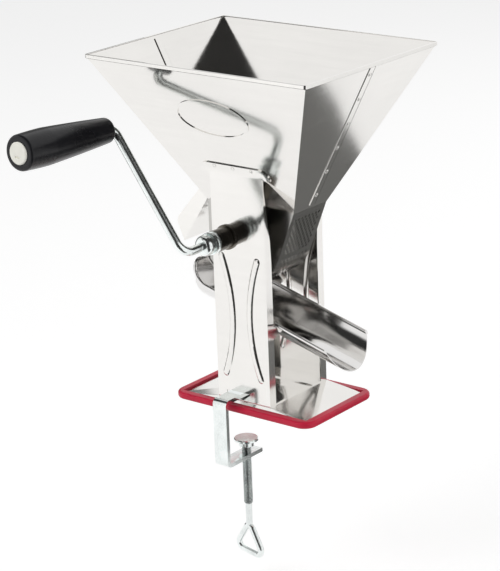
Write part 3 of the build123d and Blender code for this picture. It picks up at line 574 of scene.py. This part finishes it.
# %% The clamp's screw
shank_r, root_r = 0.00395, 0.0033      # radii over the crests and at the root
screw_x, screw_y = -0.010, -0.027      # the screw's axis
thread_top, thread_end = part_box("clamp_screw")[1][2], -0.090
top_gap = 0.0008                       # the thread stops this far below the screw's top
pitch = 0.00125
screw_mesh = merged("clamp_screw", crease_degrees)
for vertex in screw_mesh.vertices:
    arm = Vector((vertex.co.x - screw_x, vertex.co.y - screw_y, 0))
    if vertex.co.z > thread_end - 1e-5 and arm.length > root_r:
        arm *= root_r / arm.length
        vertex.co = (screw_x + arm.x, screw_y + arm.y, vertex.co.z)
shank = keep("clamp_spindle", weighted(screw_mesh), crank_zinc,
             "screw")
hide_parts("clamp_screw")
thread_length = thread_top - top_gap - thread_end
thread_foot = (screw_x, screw_y, thread_end)
thread_mesh = grown(coil, Turns=thread_length / pitch, Steps=20, Radius=root_r,
                    Length=thread_length, Wire=shank_r - root_r, Sides=4, First=thread_foot,
                    Second=thread_foot, Material=crank_zinc)
thread = keep("clamp_thread", thread_mesh, crank_zinc, "screw")
print("thread turns:", round(thread_length / pitch), "faces:", len(thread.data.polygons))

# %% [markdown]
# ## Lap seams and spot welds
# The hopper is folded from two halves. They overlap in the middle of its left and right walls, and
# a row of spot welds holds them. Each seam is a thin strip on the slope, as wide as the overlap. A
# spot weld is a shallow ring with a low dome in it, half sunk in the sheet, because the electrode's
# face leaves just such a mark. The same recipe puts three more on each leg's tab.

# %% Lap seams
wall_run = 0.525                       # the walls lean out by this much per metre of height
throat_z, throat_half = 0.1756, 0.0454 # the throat's height, and half its width along X
throat_half_y = 0.0227
wall_turn = math.atan(wall_run)


def on_side_wall(side, y, z, proud):
    """A point on the right (1) or left (-1) wall, so far out of its face."""
    out = throat_half + wall_run * (z - throat_z) + proud * math.cos(wall_turn)
    return Vector((side * out, y, z - proud * math.sin(wall_turn)))


def seam_strip(side, proud, thick, low_z, high_z, from_y, to_y):
    """A thin strip up the slope, its long edges rounded by a bevel."""
    shell = bmesh.new()
    corners = [[shell.verts.new(on_side_wall(side, y, z, out)) for y, out in (
        (from_y, proud), (to_y, proud), (to_y, proud - thick), (from_y, proud - thick))]
        for z in (low_z, (low_z + high_z) / 2, high_z)]
    for low, high in zip(corners, corners[1:]):
        for i in range(4):
            shell.faces.new((low[i], low[(i + 1) % 4], high[(i + 1) % 4], high[i]))
    shell.faces.new(corners[0])
    shell.faces.new(corners[-1][::-1])
    bmesh.ops.recalc_face_normals(shell, faces=shell.faces)
    mesh = bpy.data.meshes.new("strip")
    shell.to_mesh(mesh)
    shell.free()
    holder = linked("holder", mesh)
    bevel = holder.modifiers.new("rounded edges", "BEVEL")
    bevel.width, bevel.segments = 0.0002, 2
    return baked(holder)


rim_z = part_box("hopper")[1][2]
seam_low, seam_high = throat_z + 0.003, rim_z - 0.0035
lap_sheet, edge_sheet, edge_half = 0.0009, 0.0005, 0.0004
for side, label in ((1, "right"), (-1, "left")):
    faces = 0
    for place, proud, from_y, to_y in (("outside", 0.00055, -0.0035, 0.0035),
                                       ("inside", -0.00045, -0.0050, 0.0020)):
        strip = seam_strip(side, proud, lap_sheet, seam_low, seam_high, from_y, to_y)
        faces += len(strip.polygons)
        keep(label + "_lap_" + place, strip, hopper_steel, "stand")
    # A near-black strip along each lap's cut edge is painted shade: the shadow of the step where
    # the sheets overlap.
    for place, proud, cut_y in (("outside", 0.0006, 0.0035), ("inside", -0.0009, -0.0050)):
        edge = seam_strip(side, proud, edge_sheet, seam_low, seam_high, cut_y - edge_half,
                          cut_y + edge_half)
        keep(label + "_lap_edge_shade_" + place, edge, edge_shade, "stand")
    print(label, "seam:", faces, "faces")

# %% [markdown]
# ## The rolled rim's cut edge
# The hopper's rim is rolled outwards, and the sheet's cut edge ends up just under the roll. That
# edge is given a near-black colour as painted shade, for the shadowed gap under the roll, so it
# draws a thin line under the bright rim. One closed curve with a round bevel runs round the four
# walls, partly sunk in the sheet.

# %% The rolled rim's cut edge
fold_z, fold_r = rim_z - 0.0034, 0.00035
fold_x = throat_half + wall_run * (fold_z - throat_z)
fold_y = fold_x - throat_half + throat_half_y
stand_off = 0.0002                     # how far the line's middle stands off the wall
path = bpy.data.curves.new("rim fold", "CURVE")
path.dimensions = "3D"
path.bevel_depth, path.bevel_resolution = fold_r, 2
spline = path.splines.new("POLY")
spline.points.add(3)
for point, (x, y) in zip(spline.points, ((-1, -1), (1, -1), (1, 1), (-1, 1))):
    point.co = (x * (fold_x + stand_off), y * (fold_y + stand_off), fold_z, 1)
spline.use_cyclic_u = True
keep("rim_edge_shade", baked(linked("holder", path)), edge_shade, "stand")
print("rim's cut edge:", len(spline.points), "corners")

# %% The spot weld recipe
welds = Recipe("spot welds", Count=int, From=tuple, To=tuple, Facing=tuple, Radius=float,
               Height=float, Material=bpy.types.Material)
circle = welds.node("GeometryNodeCurvePrimitiveCircle", Resolution=20, Radius=welds.sizes["Radius"])
bead = welds.node("GeometryNodeCurvePrimitiveCircle", Resolution=6, Radius=welds.sizes["Height"])
ring = welds.node("GeometryNodeCurveToMesh", Curve=circle, Profile_Curve=bead)
ball = welds.node("GeometryNodeMeshUVSphere", Segments=16, Rings=6, Radius=welds.sizes["Radius"])
dome = welds.node("GeometryNodeTransform", Geometry=ball, Scale=welds.vector(0.8, 0.8, 0.10))
places = welds.node("GeometryNodeMeshLine", {"mode": "END_POINTS"}, Count=welds.sizes["Count"],
                    Start_Location=welds.sizes["From"], Offset=welds.sizes["To"])
turn = welds.node("FunctionNodeAlignRotationToVector", {"axis": "Z"}, Vector=welds.sizes["Facing"])
welds.finish(welds.node("GeometryNodeInstanceOnPoints", Points=places,
                        Instance=welds.joined(ring, dome), Rotation=turn))
print("weld recipe has", len(welds.tree.nodes), "nodes")

# %% Spot welds
lap_face = 0.00055                     # the seam's outer face, out from the wall
for side, label in ((1, "right"), (-1, "left")):
    row = grown(welds, Count=6, From=tuple(on_side_wall(side, 0.0, throat_z + 0.012, lap_face)),
                To=tuple(on_side_wall(side, 0.0, rim_z - 0.010, lap_face)),
                Facing=(side * math.cos(wall_turn), 0.0, -math.sin(wall_turn)), Radius=0.0018,
                Height=0.00018, Material=hopper_steel)
    keep(label + "_seam_welds", row, hopper_steel, "stand")

leg_face, tab_sheet = 0.0395, 0.0010
tab_foot_z = throat_z + (leg_face - tab_sheet - throat_half_y) / wall_run
weld_rise, weld_span, weld_sunk = 0.0070, 0.019, 0.00002
for side, label in ((-1, "front"), (1, "rear")):
    z = tab_foot_z + weld_rise
    wall_y = throat_half_y + wall_run * (z - throat_z)
    y = side * (wall_y + tab_sheet / math.cos(wall_turn) - weld_sunk)
    row = grown(welds, Count=3, From=(-weld_span, y, z), To=(weld_span, y, z),
                Facing=(0.0, side * math.cos(wall_turn), -math.sin(wall_turn)), Radius=0.0017,
                Height=0.00016, Material=leg_steel)
    keep(label + "_tab_welds", row, leg_steel, "stand")
print("welds:", 2 * 6 + 2 * 3)

# %% [markdown]
# ## Floor and light
# A plain white floor lies below the clamp's loop. The background is white to the camera and to
# reflections, through the Light Path node, but it lights the object only a little: the light comes
# from three large soft lamps. Polished metal looks grey and flat when everything round it is white.
# So reflections see a ceiling that is dark towards the front, and four dark cards that the camera
# doesn't see, as a photographer sets up round silverware.

# %% Floor
floor_z = cad_box[0][2] - 0.02
floor_mesh = bpy.data.meshes.new("floor")
floor_mesh.from_pydata([(-6, -6, floor_z), (6, -6, floor_z), (6, 6, floor_z), (-6, 6, floor_z)], [],
                       [(0, 1, 2, 3)])
floor = linked("floor", floor_mesh)
floor_finish = Finish("white floor", Metallic=0.0, Roughness=0.9, Specular_IOR_Level=0.0,
                      Base_Color=(0.7, 0.7, 0.7, 1), Emission_Color=(1, 1, 1, 1))


def seen_rays(tree):
    """1 for rays that show the background: from the camera, off a gloss or through glass."""
    path = tree.nodes.new("ShaderNodeLightPath")
    return Value(tree, path.outputs["Is Camera Ray"]).maths(
        "MAXIMUM", Value(tree, path.outputs["Is Glossy Ray"])).maths(
        "MAXIMUM", Value(tree, path.outputs["Is Transmission Ray"]))


floor_finish.set(Emission_Strength=seen_rays(floor_finish.tree) * 0.50)
floor_mesh.materials.append(floor_finish.material)


# %% Flags
def flag(name, corners, tone):
    """A dark card that only reflections see."""
    mesh = bpy.data.meshes.new(name)
    mesh.from_pydata(corners, [], [(0, 1, 2, 3)])
    card = Finish(name + " card", Metallic=0.0, Roughness=1.0, Base_Color=(0, 0, 0, 1),
                  Emission_Color=(tone, tone, tone * 0.97, 1), Emission_Strength=1.0)
    mesh.materials.append(card.material)
    obj = linked(name, mesh)
    obj.visible_camera = obj.visible_diffuse = obj.visible_shadow = False


lying_z = floor_z + 0.002
flag("flag_front_right", [(0.04, -0.86, -0.15), (0.74, -0.46, -0.15), (0.74, -0.46, 0.9),
                          (0.04, -0.86, 0.9)], 0.03)
flag("flag_front_low", [(0.12, -0.85, lying_z), (0.74, -0.46, lying_z), (0.50, -0.10, lying_z),
                        (0.12, -0.20, lying_z)], 0.05)
flag("flag_left", [(-0.80, -0.15, -0.15), (-0.55, 0.48, -0.15), (-0.55, 0.48, 0.7),
                   (-0.80, -0.15, 0.7)], 0.20)
flag("flag_back_low", [(-0.05, 0.16, lying_z), (0.55, 0.16, lying_z), (0.55, 0.52, lying_z),
                       (-0.05, 0.52, lying_z)], 0.14)
print("flags: 4")

# %% [markdown]
# ## The world and the lamps
# The world's strength is worked out for each ray. The camera sees plain white. A reflection sees
# white too, except in the part of the ceiling towards the front, which fades to nearly black. All
# other rays see a dim grey, so the lamps do the lighting. The lamps themselves stay out of the
# reflections, where they would burn out as white squares.

# %% World
bpy.context.scene.view_settings.view_transform = "Standard"
world = bpy.data.worlds.new("studio")
bpy.context.scene.world = world
world.use_nodes = True
world_tree = world.node_tree
background = world_tree.nodes["Background"]
background.inputs["Color"].default_value = (1, 1, 1, 1)
direction = world_tree.nodes.new("ShaderNodeTexCoord")
split = world_tree.nodes.new("ShaderNodeSeparateXYZ")
world_tree.links.new(direction.outputs["Generated"], split.inputs[0])


def softly(value, low, high):
    """0 below low, 1 above high, and smooth between them."""
    step = world_tree.nodes.new("ShaderNodeMapRange")
    step.interpolation_type = "SMOOTHSTEP"
    for slot, amount in (("Value", value), ("From Min", low), ("From Max", high)):
        connect(world_tree, step.inputs[slot], amount)
    return Value(world_tree, step.outputs[0])


overhead = softly(Value(world_tree, split.outputs["Z"]), 0.56, 0.68)
in_front = 1 - softly(Value(world_tree, split.outputs["Y"]), -0.05, 0.35)
ceiling = 1 - overhead * in_front * 0.97
camera_ray = Value(world_tree, world_tree.nodes.new("ShaderNodeLightPath").outputs["Is Camera Ray"])
seen = seen_rays(world_tree)
shown = ceiling.maths("MAXIMUM", camera_ray)
connect(world_tree, background.inputs["Strength"], seen * shown + (1 - seen) * 0.45)
print("world nodes:", len(world_tree.nodes))


# %% Lamps
middle = Vector((0, 0, 0.15))


def lamp(name, place, size, power):
    """A square soft light that points at the middle of the strainer."""
    data = bpy.data.lights.new(name, "AREA")
    data.shape = "RECTANGLE"
    data.size = data.size_y = size
    data.energy = power
    lamp_object = linked(name, data)
    lamp_object.matrix_world = Matrix.Translation(place) @ (
        Vector(place) - middle).to_track_quat("Z", "Y").to_matrix().to_4x4()
    lamp_object.visible_glossy = False


lamp("key", (-1.0, -1.7, 1.6), 1.8, 22)
lamp("fill", (2.0, -0.6, 0.9), 1.4, 9)
lamp("rim", (0.3, 1.9, 1.2), 1.6, 8)
print("lamps: 3")
